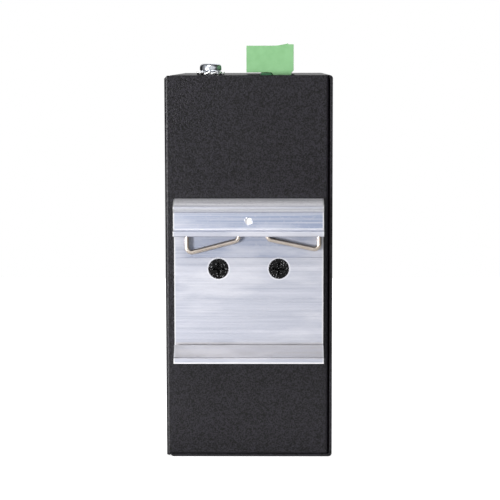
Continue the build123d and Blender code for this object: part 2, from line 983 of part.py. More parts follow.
with BuildPart() as power_plug:
    with BuildSketch(seen_from_back(plug_start_y)):
        with BuildLine():
            Polyline(
                (crest_x, case_height + plug_peak),
                (shelf_left_x, case_height + plug_shelf),
                (plug_right_x, case_height + plug_shelf),
                (plug_right_x, case_height + plug_strip_drop),
                (nose_right_x, case_height + plug_strip_drop - plug_strip_chamfer),
                (nose_right_x, nose_bottom_z),
                (nose_left_x, nose_bottom_z),
                (nose_left_x, case_height + nose_shoulder_rise),
                (nose_left_x - nose_shoulder_run, case_height + plug_underside),
                (plug_left_x, case_height + plug_underside),
                (plug_left_x, case_height + plug_height),
                (plug_left_x + plug_flat, case_height + plug_height),
            )
            TangentArc(
                (plug_left_x + plug_flat, case_height + plug_height),
                (crest_x, case_height + plug_peak),
                tangent=(1, 0),
            )
        make_face()
    extrude(amount=-plug_length)
    # keys that slide in the header's outer wall
    with BuildSketch(Plane.XY.offset(case_height + plug_underside)):
        with Locations(*[(nose_left_x, y) for y in pole_levels]):
            Rectangle(key_reach, key_width, align=(Align.MAX, Align.CENTER))
    extrude(amount=-(plug_underside + nose_depth - header_floor_gap))
    # wire pockets
    with BuildSketch(Plane.XY.offset(pocket_floor_z)):
        with Locations(*[(pocket_middle_x, y) for y in pole_levels]):
            Rectangle(pocket_depth, pocket_width)
    extrude(amount=plug_peak, mode=Mode.SUBTRACT)
    # channels for the sockets and the entries for the pins
    with BuildSketch(Plane.XY.offset(pocket_floor_z)):
        with Locations(*[(nose_center_x, y) for y in pole_levels]):
            Rectangle(channel_size, channel_size)
    extrude(amount=channel_floor_z - pocket_floor_z, mode=Mode.SUBTRACT)
    with BuildSketch(Plane.XY.offset(nose_bottom_z)):
        with Locations(*[(nose_center_x, y) for y in pole_levels]):
            Rectangle(pin_width + 2 * key_gap, pin_width + 2 * key_gap)
    extrude(amount=nose_depth, mode=Mode.SUBTRACT)
    # holes for the clamp screws
    with BuildSketch(seen_from_right(plug_left_x)):
        with Locations(*[(y, clamp_z) for y in pole_levels]):
            Circle(clamp_head_radius + clamp_hole_gap)
    extrude(
        amount=clamp_head_recess + clamp_head_length + clamp_hole_gap, mode=Mode.SUBTRACT
    )
    with BuildSketch(seen_from_right(plug_left_x)):
        with Locations(*[(y, clamp_z) for y in pole_levels]):
            Circle(clamp_shank_radius + clamp_hole_gap)
    extrude(amount=pocket_middle_x - plug_left_x, mode=Mode.SUBTRACT)

power_plug.part.label = "power_plug"
export_step(power_plug.part, "parts/power_plug.step")

cage_middle_x = pocket_middle_x
cage_left_x = cage_middle_x - cage_depth / 2
cage_right_x = cage_middle_x + cage_depth / 2

with BuildPart() as plug_clamps:
    with BuildSketch(Plane.XY.offset(cage_base_z)):
        with Locations(*[(cage_middle_x, y) for y in pole_levels]):
            Rectangle(cage_depth, cage_width)
            Rectangle(
                cage_depth - 2 * cage_wall, cage_width - 2 * cage_wall, mode=Mode.SUBTRACT
            )
    extrude(amount=cage_height)
    with BuildSketch(seen_from_right(cage_left_x)):
        with Locations(*[(y, clamp_z) for y in pole_levels]):
            Circle(clamp_shank_radius + thread_clearance)
    extrude(amount=cage_wall, mode=Mode.SUBTRACT)

plug_clamps.part.label = "plug_clamps"
export_step(plug_clamps.part, "parts/plug_clamps.step")

with BuildPart() as plug_clamp_screws:
    with BuildSketch(seen_from_right(plug_left_x + clamp_head_recess)):
        with Locations(*[(y, clamp_z) for y in pole_levels]):
            Circle(clamp_head_radius)
    extrude(amount=clamp_head_length)
    with BuildSketch(seen_from_right(plug_left_x + clamp_head_recess)):
        with Locations(*[(y, clamp_z) for y in pole_levels]):
            Circle(clamp_shank_radius)
    extrude(
        amount=cage_left_x + cage_wall + clamp_bite - plug_left_x - clamp_head_recess
    )
    with BuildSketch(seen_from_right(plug_left_x + clamp_head_recess)):
        with Locations(*[(y, clamp_z) for y in pole_levels]):
            Rectangle(2 * clamp_head_radius, clamp_slot_width)
    extrude(amount=clamp_slot_depth, mode=Mode.SUBTRACT)

plug_clamp_screws.part.label = "plug_clamp_screws"
export_step(plug_clamp_screws.part, "parts/plug_clamp_screws.step")

socket_base_z = channel_floor_z + socket_bottom_gap
socket_top_z = pocket_floor_z - socket_gap
bar_right_x = cage_right_x - cage_wall - socket_gap

with BuildPart() as plug_contacts:
    with BuildSketch(Plane.XY.offset(socket_base_z)):
        with Locations(*[(nose_center_x, y) for y in pole_levels]):
            Rectangle(socket_width, socket_width)
    extrude(amount=socket_top_z - socket_base_z)
    with BuildSketch(Plane.XY.offset(socket_base_z)):
        with Locations(*[(nose_center_x, y) for y in pole_levels]):
            Rectangle(pin_width + 2 * pin_fit, pin_width + 2 * pin_fit)
    extrude(amount=socket_top_z - socket_base_z - contact_bar, mode=Mode.SUBTRACT)
    with BuildSketch(Plane.XY.offset(socket_top_z - contact_bar)):
        with Locations(*[(bar_right_x, y) for y in pole_levels]):
            Rectangle(contact_bar, contact_bar_width, align=(Align.MAX, Align.CENTER))
    extrude(amount=contact_bar_height + contact_bar)

plug_contacts.part.label = "plug_contacts"
export_step(plug_contacts.part, "parts/plug_contacts.step")


# Jack block: moulded housing with two rows of sockets, latches outwards
housing_front_y = jack_front_y - jack_shield
row_signs = (-1, 1)
row_floor = socket_row_web
latch_out = row_floor + socket_opening_height
key_out = latch_out + socket_latch_height

with BuildPart() as jack_housing:
    with BuildSketch(seen_from_back(housing_front_y)):
        with Locations((board_face_x, jack_center_z)):
            Rectangle(
                jack_block_height - jack_shield,
                block_length - 2 * jack_shield,
                align=(Align.MAX, Align.CENTER),
            )
    extrude(amount=jack_depth - 2 * jack_shield)
    with BuildSketch(seen_from_back(housing_front_y)):
        for side in row_signs:
            edge = (Align.MIN if side > 0 else Align.MAX, Align.CENTER)
            for z in column_levels:
                with Locations((row_middle_x + side * row_floor, z)):
                    Rectangle(socket_opening_height, socket_opening_width, align=edge)
                with Locations((row_middle_x + side * latch_out, z)):
                    Rectangle(socket_latch_height, socket_latch_width, align=edge)
                with Locations((row_middle_x + side * key_out, z)):
                    Rectangle(socket_key_height, socket_key_width, align=edge)
    extrude(amount=socket_depth, mode=Mode.SUBTRACT)
    with BuildSketch(seen_from_back(housing_front_y)):
        with Locations(
            *[
                (row_middle_x + side * port_lamp_row, z + shift * port_lamp_spacing / 2)
                for side in row_signs
                for z in column_levels
                for shift in (-1, 1)
            ]
        ):
            Rectangle(
                port_lamp_height + 2 * port_lamp_gap, port_lamp_width + 2 * port_lamp_gap
            )
    extrude(amount=port_lamp_length, mode=Mode.SUBTRACT)

jack_housing.part.label = "jack_housing"
export_step(jack_housing.part, "parts/jack_housing.step")

with BuildPart() as port_lamps:
    with BuildSketch(seen_from_back(jack_front_y)):
        with Locations(
            *[
                (row_middle_x + side * port_lamp_row, z + shift * port_lamp_spacing / 2)
                for side in row_signs
                for z in column_levels
                for shift in (-1, 1)
            ]
        ):
            Rectangle(port_lamp_height, port_lamp_width)
    extrude(amount=port_lamp_length + jack_shield)

port_lamps.part.label = "port_lamps"
export_step(port_lamps.part, "parts/port_lamps.step")

contact_levels = [
    z + (i - (contact_count - 1) / 2) * contact_pitch - contact_width / 2
    for z in column_levels
    for i in range(contact_count)
]

with BuildPart() as jack_contacts:
    with BuildSketch(*[Plane.XY.offset(z) for z in contact_levels]):
        for side in row_signs:
            foot_x = row_middle_x + side * row_floor
            tip_x = foot_x + side * contact_rise
            with BuildLine():
                Polyline(
                    (foot_x, housing_front_y - contact_start),
                    (tip_x, housing_front_y - contact_end),
                    (tip_x, housing_front_y - contact_end - contact_thickness),
                    (foot_x, housing_front_y - contact_start - contact_foot),
                    close=True,
                )
            make_face()
    extrude(amount=contact_width)

jack_contacts.part.label = "jack_contacts"
export_step(jack_contacts.part, "parts/jack_contacts.step")

with BuildPart() as jack_shell:
    with BuildSketch(seen_from_back(jack_front_y)):
        with Locations((board_face_x, jack_center_z)):
            Rectangle(jack_block_height, block_length, align=(Align.MAX, Align.CENTER))
    extrude(amount=jack_depth)
    with BuildSketch(seen_from_back(housing_front_y)):
        with Locations((board_face_x, jack_center_z)):
            Rectangle(
                jack_block_height - jack_shield,
                block_length - 2 * jack_shield,
                align=(Align.MAX, Align.CENTER),
            )
    extrude(amount=jack_depth - 2 * jack_shield, mode=Mode.SUBTRACT)
    with BuildSketch(seen_from_back(jack_front_y)):
        for side in row_signs:
            edge = (Align.MIN if side > 0 else Align.MAX, Align.CENTER)
            for z in column_levels:
                with Locations((row_middle_x + side * row_floor, z)):
                    Rectangle(socket_opening_height, socket_opening_width, align=edge)
                with Locations((row_middle_x + side * latch_out, z)):
                    Rectangle(socket_latch_height, socket_latch_width, align=edge)
                with Locations((row_middle_x + side * key_out, z)):
                    Rectangle(socket_key_height, socket_key_width, align=edge)
                with Locations(
                    (row_middle_x + side * port_lamp_row, z - port_lamp_spacing / 2),
                    (row_middle_x + side * port_lamp_row, z + port_lamp_spacing / 2),
                ):
                    Rectangle(
                        port_lamp_height + 2 * port_lamp_gap,
                        port_lamp_width + 2 * port_lamp_gap,
                    )
    extrude(amount=jack_shield, mode=Mode.SUBTRACT)
    # spring fingers that bear on the edge of the front wall's opening
    for level in range(finger_count):
        finger_z = jack_bottom_z + (level + 0.5) * block_length / finger_count
        with BuildSketch(Plane.XY.offset(finger_z - finger_width / 2)):
            with BuildLine():
                Polyline(
                    (block_left_x, front_y),
                    (block_left_x - finger_reach, front_y - finger_length / 2),
                    (block_left_x, front_y - finger_length),
                    close=True,
                )
            make_face()
        extrude(amount=finger_width)

jack_shell.part.label = "jack_shell"
export_step(jack_shell.part, "parts/jack_shell.step")


# Status lamps in a holder on the board's front edge

with BuildPart() as lamp_holder:
    with BuildSketch(seen_from_right(board_face_x - lamp_holder_height)):
        with Locations((holder_front_y, lamp_bottom_z)):
            Rectangle(lamp_holder_depth, lamp_holder_length, align=(Align.MAX, Align.MIN))
    extrude(amount=lamp_holder_height)
    with BuildSketch(seen_from_back(holder_front_y)):
        with Locations(*[(lamp_x, z) for z in lamp_levels]):
            Circle(status_lamp_radius + thread_clearance)
    extrude(amount=lamp_holder_depth / 2, mode=Mode.SUBTRACT)

lamp_holder.part.label = "lamp_holder"
export_step(lamp_holder.part, "parts/lamp_holder.step")

with BuildPart() as status_lamps:
    with BuildSketch(seen_from_back(lamp_front_y)):
        with Locations(*[(lamp_x, z) for z in lamp_levels]):
            Circle(status_lamp_radius)
    extrude(amount=lamp_front_y - holder_front_y + lamp_holder_depth / 2)
    fillet(status_lamps.edges().group_by(Axis.Y)[-1], status_lamp_round)

status_lamps.part.label = "status_lamps"
export_step(status_lamps.part, "parts/status_lamps.step")


# Switch chip with its pad and finned heat sink
with BuildPart() as switch_chip:
    with BuildSketch(seen_from_right(board_face_x)):
        with Locations((chip_y, jack_center_z)):
            Rectangle(chip_size, chip_size)
    extrude(amount=-chip_height)
    chamfer(switch_chip.edges().filter_by(Axis.X), chip_chamfer)

switch_chip.part.label = "switch_chip"
export_step(switch_chip.part, "parts/switch_chip.step")

pad_x = board_face_x - chip_height

with BuildPart() as thermal_pad:
    with BuildSketch(seen_from_right(pad_x)):
        with Locations((chip_y, jack_center_z)):
            Rectangle(chip_size - pad_margin, chip_size - pad_margin)
    extrude(amount=-pad_thickness)

thermal_pad.part.label = "thermal_pad"
export_step(thermal_pad.part, "parts/thermal_pad.step")

sink_x = pad_x - pad_thickness
fin_pitch = (sink_size - sink_fin) / (sink_fins - 1)

with BuildPart() as heat_sink:
    with BuildSketch(seen_from_right(sink_x)):
        with Locations((chip_y, jack_center_z)):
            Rectangle(sink_size, sink_size)
    extrude(amount=-sink_base)
    with BuildSketch(seen_from_right(sink_x)):
        with Locations((chip_y, jack_center_z)):
            with GridLocations(fin_pitch, 0, sink_fins, 1):
                Rectangle(sink_fin, sink_size)
    extrude(amount=-sink_height)

heat_sink.part.label = "heat_sink"
export_step(heat_sink.part, "parts/heat_sink.step")


# Line transformers, one behind each column of jacks
with BuildPart() as line_transformers:
    with BuildSketch(seen_from_right(board_face_x)):
        with Locations(*[(transformer_y, z) for z in column_levels]):
            Rectangle(transformer_width, transformer_length)
    extrude(amount=-transformer_height)
    chamfer(
        line_transformers.faces().group_by(Axis.X)[0].edges(), transformer_chamfer
    )

line_transformers.part.label = "line_transformers"
export_step(line_transformers.part, "parts/line_transformers.step")


# Filter capacitors: cans with a crimp groove, standing on the board
capacitor_top_z = board_hole_high_z - capacitor_drop

with BuildPart() as capacitor:
    with BuildSketch(Plane.XZ):
        with BuildLine():
            Polyline(
                (0, 0),
                (capacitor_radius - capacitor_base, 0),
                (capacitor_radius - capacitor_base, capacitor_base),
                (capacitor_radius, capacitor_base),
                (capacitor_radius, capacitor_rim),
                (capacitor_radius - capacitor_groove, capacitor_rim + capacitor_groove),
                (capacitor_radius, capacitor_rim + 2 * capacitor_groove),
                (capacitor_radius, capacitor_height - capacitor_groove),
                (capacitor_radius - capacitor_groove, capacitor_height),
                (0, capacitor_height),
                close=True,
            )
        make_face()
    revolve(axis=Axis.Z)

with BuildPart() as filter_capacitors:
    with Locations(
        *[
            facing(board_face_x, capacitor_y, capacitor_top_z - i * capacitor_pitch, (-1, 0, 0))
            for i in range(capacitor_count)
        ]
    ):
        add(capacitor.part)

filter_capacitors.part.label = "filter_capacitors"
export_step(filter_capacitors.part, "parts/filter_capacitors.step")


# Power inductor: a square core with a waist
with BuildPart() as power_inductor:
    with BuildSketch(seen_from_right(board_face_x)):
        with Locations((inductor_y, inductor_z)):
            RectangleRounded(inductor_size, inductor_size, inductor_corner)
    extrude(amount=-inductor_cap)
    with BuildSketch(seen_from_right(board_face_x)):
        with Locations((inductor_y, inductor_z)):
            Circle(inductor_size / 2 - inductor_waist)
    extrude(amount=-inductor_height)
    with BuildSketch(seen_from_right(board_face_x - inductor_height + inductor_cap)):
        with Locations((inductor_y, inductor_z)):
            RectangleRounded(inductor_size, inductor_size, inductor_corner)
    extrude(amount=-inductor_cap)

power_inductor.part.label = "power_inductor"
export_step(power_inductor.part, "parts/power_inductor.step")


# Alarm relay
with BuildPart() as alarm_relay:
    with BuildSketch(seen_from_right(board_face_x)):
        with Locations((relay_y, relay_z)):
            Rectangle(relay_width, relay_length)
    extrude(amount=-relay_height)
    chamfer(alarm_relay.faces().sort_by(Axis.X)[0].edges(), relay_edge)

alarm_relay.part.label = "alarm_relay"
export_step(alarm_relay.part, "parts/alarm_relay.step")


# Surge absorbers: coated discs on two leads
absorber_x = board_face_x - absorber_lift - absorber_radius

with BuildPart() as surge_absorbers:
    for i in range(absorber_count):
        disc_y = absorber_y + i * absorber_pitch
        with BuildSketch(Plane.XY.offset(absorber_z - absorber_thickness / 2)):
            with Locations((absorber_x, disc_y)):
                Circle(absorber_radius)
        extrude(amount=absorber_thickness)
        with BuildSketch(seen_from_right(board_face_x)):
            with Locations(
                (disc_y - absorber_lead_spacing / 2, absorber_z),
                (disc_y + absorber_lead_spacing / 2, absorber_z),
            ):
                Circle(absorber_lead)
        extrude(amount=-(absorber_lift + absorber_radius))

surge_absorbers.part.label = "surge_absorbers"
export_step(surge_absorbers.part, "parts/surge_absorbers.step")


# Clock crystal
with BuildPart() as clock_crystal:
    with BuildSketch(seen_from_right(board_face_x)):
        with Locations((crystal_y, crystal_z)):
            SlotOverall(crystal_length, crystal_width)
    extrude(amount=-crystal_height)

clock_crystal.part.label = "clock_crystal"
export_step(clock_crystal.part, "parts/clock_crystal.step")


# Regulator chips
with BuildPart() as regulator_chips:
    with BuildSketch(seen_from_right(board_face_x)):
        with Locations(
            *[
                (chip_y + (i - (regulator_count - 1) / 2) * regulator_pitch, regulator_z)
                for i in range(regulator_count)
            ]
        ):
            Rectangle(regulator_size, regulator_size)
    extrude(amount=-regulator_height)

regulator_chips.part.label = "regulator_chips"
export_step(regulator_chips.part, "parts/regulator_chips.step")
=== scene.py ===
from math import radians

import bpy
from mathutils import Matrix, Vector


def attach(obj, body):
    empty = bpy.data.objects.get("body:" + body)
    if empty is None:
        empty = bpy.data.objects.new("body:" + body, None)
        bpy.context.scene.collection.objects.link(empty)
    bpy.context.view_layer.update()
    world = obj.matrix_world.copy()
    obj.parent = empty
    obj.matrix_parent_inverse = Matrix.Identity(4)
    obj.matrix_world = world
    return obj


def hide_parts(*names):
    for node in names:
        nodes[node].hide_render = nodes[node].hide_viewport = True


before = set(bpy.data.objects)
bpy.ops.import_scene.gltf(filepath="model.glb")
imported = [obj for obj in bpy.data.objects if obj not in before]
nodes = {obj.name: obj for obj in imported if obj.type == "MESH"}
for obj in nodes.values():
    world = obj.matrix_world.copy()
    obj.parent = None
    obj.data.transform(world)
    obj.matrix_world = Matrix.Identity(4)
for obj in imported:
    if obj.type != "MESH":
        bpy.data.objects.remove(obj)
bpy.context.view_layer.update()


# Tray: top, right side, bottom and front, folded from one sheet of steel with
# small bend radii and coated with fine textured black powder after folding.
# Its raw edges carry the coat too, so they are slightly round.
sheet_edge = 0.0002
powder_grain, powder_depth = 2900.0, 0.0001
powder_dark, powder_light = (0.0, 0.0, 0.0), (0.0182, 0.0166, 0.0222)
patch_scale, patch_gloss = 45.0, (0.33, 0.37)


def shader_node(tree, kind, **settings):
    made = tree.nodes.new(kind)
    for name, value in settings.items():
        setattr(made, name, value)
    return made


def in_range(tree, value, low, high, to_low=0.0, to_high=1.0, smooth=False):
    fit = shader_node(tree, "ShaderNodeMapRange")
    if smooth:
        fit.interpolation_type = "SMOOTHSTEP"
    for name, number in zip(
        ("From Min", "From Max", "To Min", "To Max"), (low, high, to_low, to_high)
    ):
        fit.inputs[name].default_value = number
    tree.links.new(value, fit.inputs["Value"])
    return fit.outputs["Result"]


def mixed_colours(tree, mask, first, second):
    mix = shader_node(tree, "ShaderNodeMix", data_type="RGBA")
    for socket, colour in ((mix.inputs[6], first), (mix.inputs[7], second)):
        if isinstance(colour, tuple):
            socket.default_value = (*colour, 1.0)
        else:
            tree.links.new(colour, socket)
    tree.links.new(mask, mix.inputs[0])
    return mix.outputs[2]


def raised(tree, height, distance):
    bump = shader_node(tree, "ShaderNodeBump")
    bump.inputs["Distance"].default_value = distance
    tree.links.new(height, bump.inputs["Height"])
    return bump.outputs["Normal"]


def new_finish(name, metallic=0.0, specular=0.5):
    finish = bpy.data.materials.new(name)
    finish.use_nodes = True
    shader = finish.node_tree.nodes["Principled BSDF"]
    shader.inputs["Metallic"].default_value = metallic
    shader.inputs["Specular IOR Level"].default_value = specular
    return finish, finish.node_tree, shader


def grain_group():
    group = bpy.data.node_groups.new("surface_grain", "ShaderNodeTree")
    for name in ("Scale", "Low", "High"):
        group.interface.new_socket(name, in_out="INPUT", socket_type="NodeSocketFloat")
    for name in ("Grain", "Height"):
        group.interface.new_socket(name, in_out="OUTPUT", socket_type="NodeSocketFloat")
    taken = group.nodes.new("NodeGroupInput")
    given = group.nodes.new("NodeGroupOutput")
    place = group.nodes.new("ShaderNodeTexCoord")
    noise = group.nodes.new("ShaderNodeTexNoise")
    noise.inputs["Detail"].default_value = 2.0
    fit = group.nodes.new("ShaderNodeMapRange")
    fit.inputs["From Min"].default_value = 0.32
    fit.inputs["From Max"].default_value = 0.68
    group.links.new(place.outputs["Object"], noise.inputs["Vector"])
    group.links.new(taken.outputs["Scale"], noise.inputs["Scale"])
    group.links.new(noise.outputs["Fac"], fit.inputs["Value"])
    group.links.new(taken.outputs["Low"], fit.inputs["To Min"])
    group.links.new(taken.outputs["High"], fit.inputs["To Max"])
    group.links.new(fit.outputs["Result"], given.inputs["Grain"])
    group.links.new(noise.outputs["Fac"], given.inputs["Height"])
    return group


surface_grain = grain_group()


def grain(tree, scale, low=0.0, high=1.0):
    made = shader_node(tree, "ShaderNodeGroup", node_tree=surface_grain)
    made.inputs["Scale"].default_value = scale
    made.inputs["Low"].default_value = low
    made.inputs["High"].default_value = high
    return made.outputs["Grain"], made.outputs["Height"]


def dress(piece, finish):
    piece.data.materials.clear()
    piece.data.materials.append(finish)


def rounded_copy(node, name, body, finish, width, sharp=30, smooth=38):
    bpy.ops.object.select_all(action="DESELECT")
    nodes[node].select_set(True)
    bpy.context.view_layer.objects.active = nodes[node]
    bpy.ops.object.duplicate()
    piece = bpy.context.view_layer.objects.active
    piece.name = name
    piece.data.name = name
    for key in list(piece.keys()):
        del piece[key]
    piece.parent = None
    bpy.ops.object.mode_set(mode="EDIT")
    bpy.ops.mesh.select_all(action="SELECT")
    bpy.ops.mesh.remove_doubles(threshold=0.000001)
    bpy.ops.mesh.customdata_custom_splitnormals_clear()
    bpy.ops.mesh.dissolve_limited(angle_limit=radians(0.5))
    bpy.ops.object.mode_set(mode="OBJECT")
    if width:
        bevel = piece.modifiers.new("rounded_edges", "BEVEL")
        bevel.width = width
        bevel.segments = 3
        bevel.limit_method = "ANGLE"
        bevel.angle_limit = radians(sharp)
        bevel.use_clamp_overlap = True
        bevel.miter_outer = "MITER_ARC"
        bpy.ops.object.modifier_apply(modifier=bevel.name)
    bpy.ops.object.shade_smooth_by_angle(angle=radians(smooth))
    level = piece.modifiers.new("flat_faces_stay_flat", "WEIGHTED_NORMAL")
    level.keep_sharp = True
    bpy.ops.object.modifier_apply(modifier=level.name)
    dress(piece, finish)
    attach(piece, body)
    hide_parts(node)


black_coat, tree, shader = new_finish("black_powder_coat", specular=0.26)
speck, sand = grain(tree, powder_grain)
powder_colour = mixed_colours(tree, in_range(tree, speck, 0.2, 0.8), powder_dark, powder_light)
patches, _ = grain(tree, patch_scale, *patch_gloss)
tree.links.new(powder_colour, shader.inputs["Base Color"])
tree.links.new(patches, shader.inputs["Roughness"])
tree.links.new(raised(tree, sand, powder_depth), shader.inputs["Normal"])
rounded_copy("tray", "tray_sheet", "switch", black_coat, sheet_edge)


# Ground screw: zinc plated steel, with a forged pan head that is rounded above
# and below and has a cross recess. It is turned down into a nut under the top.
ground_x, ground_y = -0.0115, -0.0303
seat = 0.116052
head_radius, head_height = 0.00325, 0.00232
head_middle = seat + head_height / 2
dome_round, rim_round = 0.0014, 0.00055
shank_radius, shank_length = 0.00175, 0.007
shank_middle = seat - shank_length / 2
shank_in_head, shank_tip_bevel = 0.0001, 0.0003
recess_arm, recess_reach, recess_depth = 0.0008, 0.0036, 0.0011
zinc_grain = 600.0


def mapped_noise(tree, scale, stretch=(1, 1, 1), detail=2.0, roughness=0.55):
    place = shader_node(tree, "ShaderNodeTexCoord")
    mapping = shader_node(tree, "ShaderNodeMapping")
    mapping.inputs["Scale"].default_value = stretch
    tree.links.new(place.outputs["Object"], mapping.inputs["Vector"])
    noise = shader_node(tree, "ShaderNodeTexNoise")
    noise.inputs["Scale"].default_value = scale
    noise.inputs["Detail"].default_value = detail
    noise.inputs["Roughness"].default_value = roughness
    tree.links.new(mapping.outputs["Vector"], noise.inputs["Vector"])
    return noise.outputs["Fac"]


def plated(name, darker, lighter, smoother, rougher):
    finish, tree, shader = new_finish(name, metallic=1.0)
    cast = mapped_noise(tree, zinc_grain)
    colour = mixed_colours(tree, in_range(tree, cast, 0.35, 0.65), darker, lighter)
    tree.links.new(colour, shader.inputs["Base Color"])
    tree.links.new(in_range(tree, cast, 0.3, 0.7, smoother, rougher), shader.inputs["Roughness"])
    return finish


def place_applied():
    bpy.ops.object.transform_apply(location=True, rotation=True, scale=True)
    return bpy.context.object


def round_edges(piece, wanted, **bevel):
    bpy.ops.object.mode_set(mode="EDIT")
    bpy.ops.mesh.select_mode(type="EDGE")
    bpy.ops.mesh.select_all(action="DESELECT")
    bpy.ops.object.mode_set(mode="OBJECT")
    points = piece.data.vertices
    for edge in piece.data.edges:
        edge.select = wanted(*(points[i].co.z for i in edge.vertices))
    bpy.ops.object.mode_set(mode="EDIT")
    bpy.ops.mesh.bevel(affect="EDGES", **bevel)
    bpy.ops.object.mode_set(mode="OBJECT")


def cut_away(piece, cutter):
    cut = piece.modifiers.new("cut", "BOOLEAN")
    cut.operation = "DIFFERENCE"
    cut.solver = "EXACT"
    cut.object = cutter
    bpy.context.view_layer.objects.active = piece
    bpy.ops.object.modifier_apply(modifier=cut.name)
    bpy.data.objects.remove(cutter)


def joined(first, second):
    bpy.ops.object.select_all(action="DESELECT")
    first.select_set(True)
    second.select_set(True)
    bpy.context.view_layer.objects.active = first
    bpy.ops.object.join()
    return first


zinc = plated("dull_zinc", (0.56, 0.59, 0.65), (0.68, 0.71, 0.76), 0.2, 0.26)

bpy.ops.object.select_all(action="DESELECT")
bpy.ops.mesh.primitive_cylinder_add(
    vertices=64, radius=head_radius, depth=head_height, location=(ground_x, ground_y, head_middle)
)
ground_screw = place_applied()
round_edges(
    ground_screw, lambda a, b: min(a, b) > head_middle, offset=dome_round, segments=9, profile=0.6
)
round_edges(ground_screw, lambda a, b: max(a, b) < seat + 0.00001, offset=rim_round, segments=5)
for quarter in (radians(45), radians(135)):
    bpy.ops.object.select_all(action="DESELECT")
    bpy.ops.mesh.primitive_cube_add(
        size=1, location=(ground_x, ground_y, seat + head_height),
        rotation=(0, 0, quarter), scale=(recess_reach, recess_arm, recess_depth * 2),
    )
    cut_away(ground_screw, place_applied())
bpy.ops.object.select_all(action="DESELECT")
bpy.ops.mesh.primitive_cylinder_add(
    vertices=32, radius=shank_radius, depth=shank_length,
    location=(ground_x, ground_y, shank_middle + shank_in_head),
)
shank = place_applied()
round_edges(shank, lambda a, b: max(a, b) < shank_middle, offset=shank_tip_bevel, segments=2)
ground_screw = joined(ground_screw, shank)
ground_screw.name = "ground_screw_head"
ground_screw.data.name = "ground_screw_head"
bpy.ops.object.shade_smooth_by_angle(angle=radians(40))
dress(ground_screw, zinc)
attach(ground_screw, "switch")
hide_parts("ground_screw")


# Ground washer: stamped spring steel with brighter zinc, its teeth twisted out of
# the flat so that they bite through the coat under the screw's head.
ring_radius, ring_hole, ring_thickness = 0.003, 0.0019, 0.0005
teeth, tooth_twist = 12, radians(20)
tooth_reach, tooth_width, tooth_thickness = 0.00165, 0.0019, 0.00045
tooth_tip, tooth_edge = 0.00415, 0.00012
tooth_middle = tooth_tip - tooth_reach / 2
washer_level = seat - 0.00052

bright_zinc = plated("bright_zinc", (0.93, 0.94, 0.95), (0.98, 0.98, 0.98), 0.34, 0.42)

bpy.ops.object.select_all(action="DESELECT")
bpy.ops.mesh.primitive_cylinder_add(
    vertices=48, radius=ring_radius, depth=ring_thickness,
    location=(ground_x, ground_y, washer_level),
)
washer = place_applied()
bpy.ops.object.mode_set(mode="EDIT")
bpy.ops.mesh.select_mode(type="FACE")
bpy.ops.mesh.select_all(action="DESELECT")
bpy.ops.object.mode_set(mode="OBJECT")
for face in washer.data.polygons:
    face.select = abs(face.normal.z) > 0.5
bpy.ops.object.mode_set(mode="EDIT")
bpy.ops.mesh.inset(thickness=ring_radius - ring_hole)
bpy.ops.mesh.delete(type="FACE")
bpy.ops.mesh.select_mode(type="EDGE")
bpy.ops.mesh.select_non_manifold()
bpy.ops.mesh.bridge_edge_loops()
bpy.ops.mesh.select_all(action="SELECT")
bpy.ops.mesh.normals_make_consistent(inside=False)
bpy.ops.object.mode_set(mode="OBJECT")
for turn in range(teeth):
    bpy.ops.object.select_all(action="DESELECT")
    bpy.ops.mesh.primitive_cube_add(
        size=1, location=(ground_x + tooth_middle, ground_y, washer_level),
        rotation=(tooth_twist, 0, 0), scale=(tooth_reach, tooth_width, tooth_thickness),
    )
    place_applied()
    bpy.ops.object.mode_set(mode="EDIT")
    bpy.ops.mesh.select_all(action="SELECT")
    bpy.ops.mesh.bevel(offset=tooth_edge, segments=3, affect="EDGES")
    bpy.ops.transform.rotate(
        value=radians(360 / teeth * (turn + 0.5)), orient_axis="Z",
        center_override=(ground_x, ground_y, washer_level),
    )
    bpy.ops.object.mode_set(mode="OBJECT")
    washer = joined(washer, bpy.context.object)
washer.name = "ground_washer"
washer.data.name = "ground_washer"
bpy.ops.object.shade_smooth_by_angle(angle=radians(40))
dress(washer, bright_zinc)
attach(washer, "switch")
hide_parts("ground_lock_washer")


# Ground nut, board posts and board screws: small steel pieces with the same dull
# zinc. The posts are pressed into the tray's side and carry the main board.
for name in ("ground_nut", "board_standoffs", "board_screws"):
    dress(nodes[name], zinc)


# Main board: a sheet of glass fibre under green lacquer. It stands along the
# tray's side on the four posts.
def plain_finish(name, colour, darker, roughness, scale, depth, metallic=0.0):
    finish, tree, shader = new_finish(name, metallic)
    speck, height = grain(tree, scale)
    rough, _ = grain(tree, scale * 0.23, roughness * 0.85, roughness * 1.15)
    tree.links.new(mixed_colours(tree, speck, darker, colour), shader.inputs["Base Color"])
    tree.links.new(rough, shader.inputs["Roughness"])
    tree.links.new(raised(tree, height, depth), shader.inputs["Normal"])
    return finish


board_mask = plain_finish(
    "board_mask", (0.02, 0.16, 0.06), (0.015, 0.13, 0.05),
    roughness=0.35, scale=300.0, depth=0.00001,
)
dress(nodes["main_board"], board_mask)


# Chips: moulded black plastic, soldered to the board. A soft grey pad carries the
# heat of the largest one into a black anodised aluminium heat sink.
chip_plastic = plain_finish(
    "chip_plastic", (0.02, 0.02, 0.02), (0.014, 0.014, 0.014),
    roughness=0.6, scale=900.0, depth=0.00002,
)
grey_pad = plain_finish(
    "grey_pad", (0.32, 0.34, 0.4), (0.28, 0.3, 0.35),
    roughness=0.8, scale=500.0, depth=0.00003,
)
black_anodised = plain_finish(
    "black_anodised", (0.03, 0.03, 0.033), (0.02, 0.02, 0.022),
    roughness=0.45, scale=900.0, depth=0.00001, metallic=0.6,
)
for name, finish in (
    ("switch_chip", chip_plastic),
    ("regulator_chips", chip_plastic),
    ("thermal_pad", grey_pad),
    ("heat_sink", black_anodised),
):
    dress(nodes[name], finish)


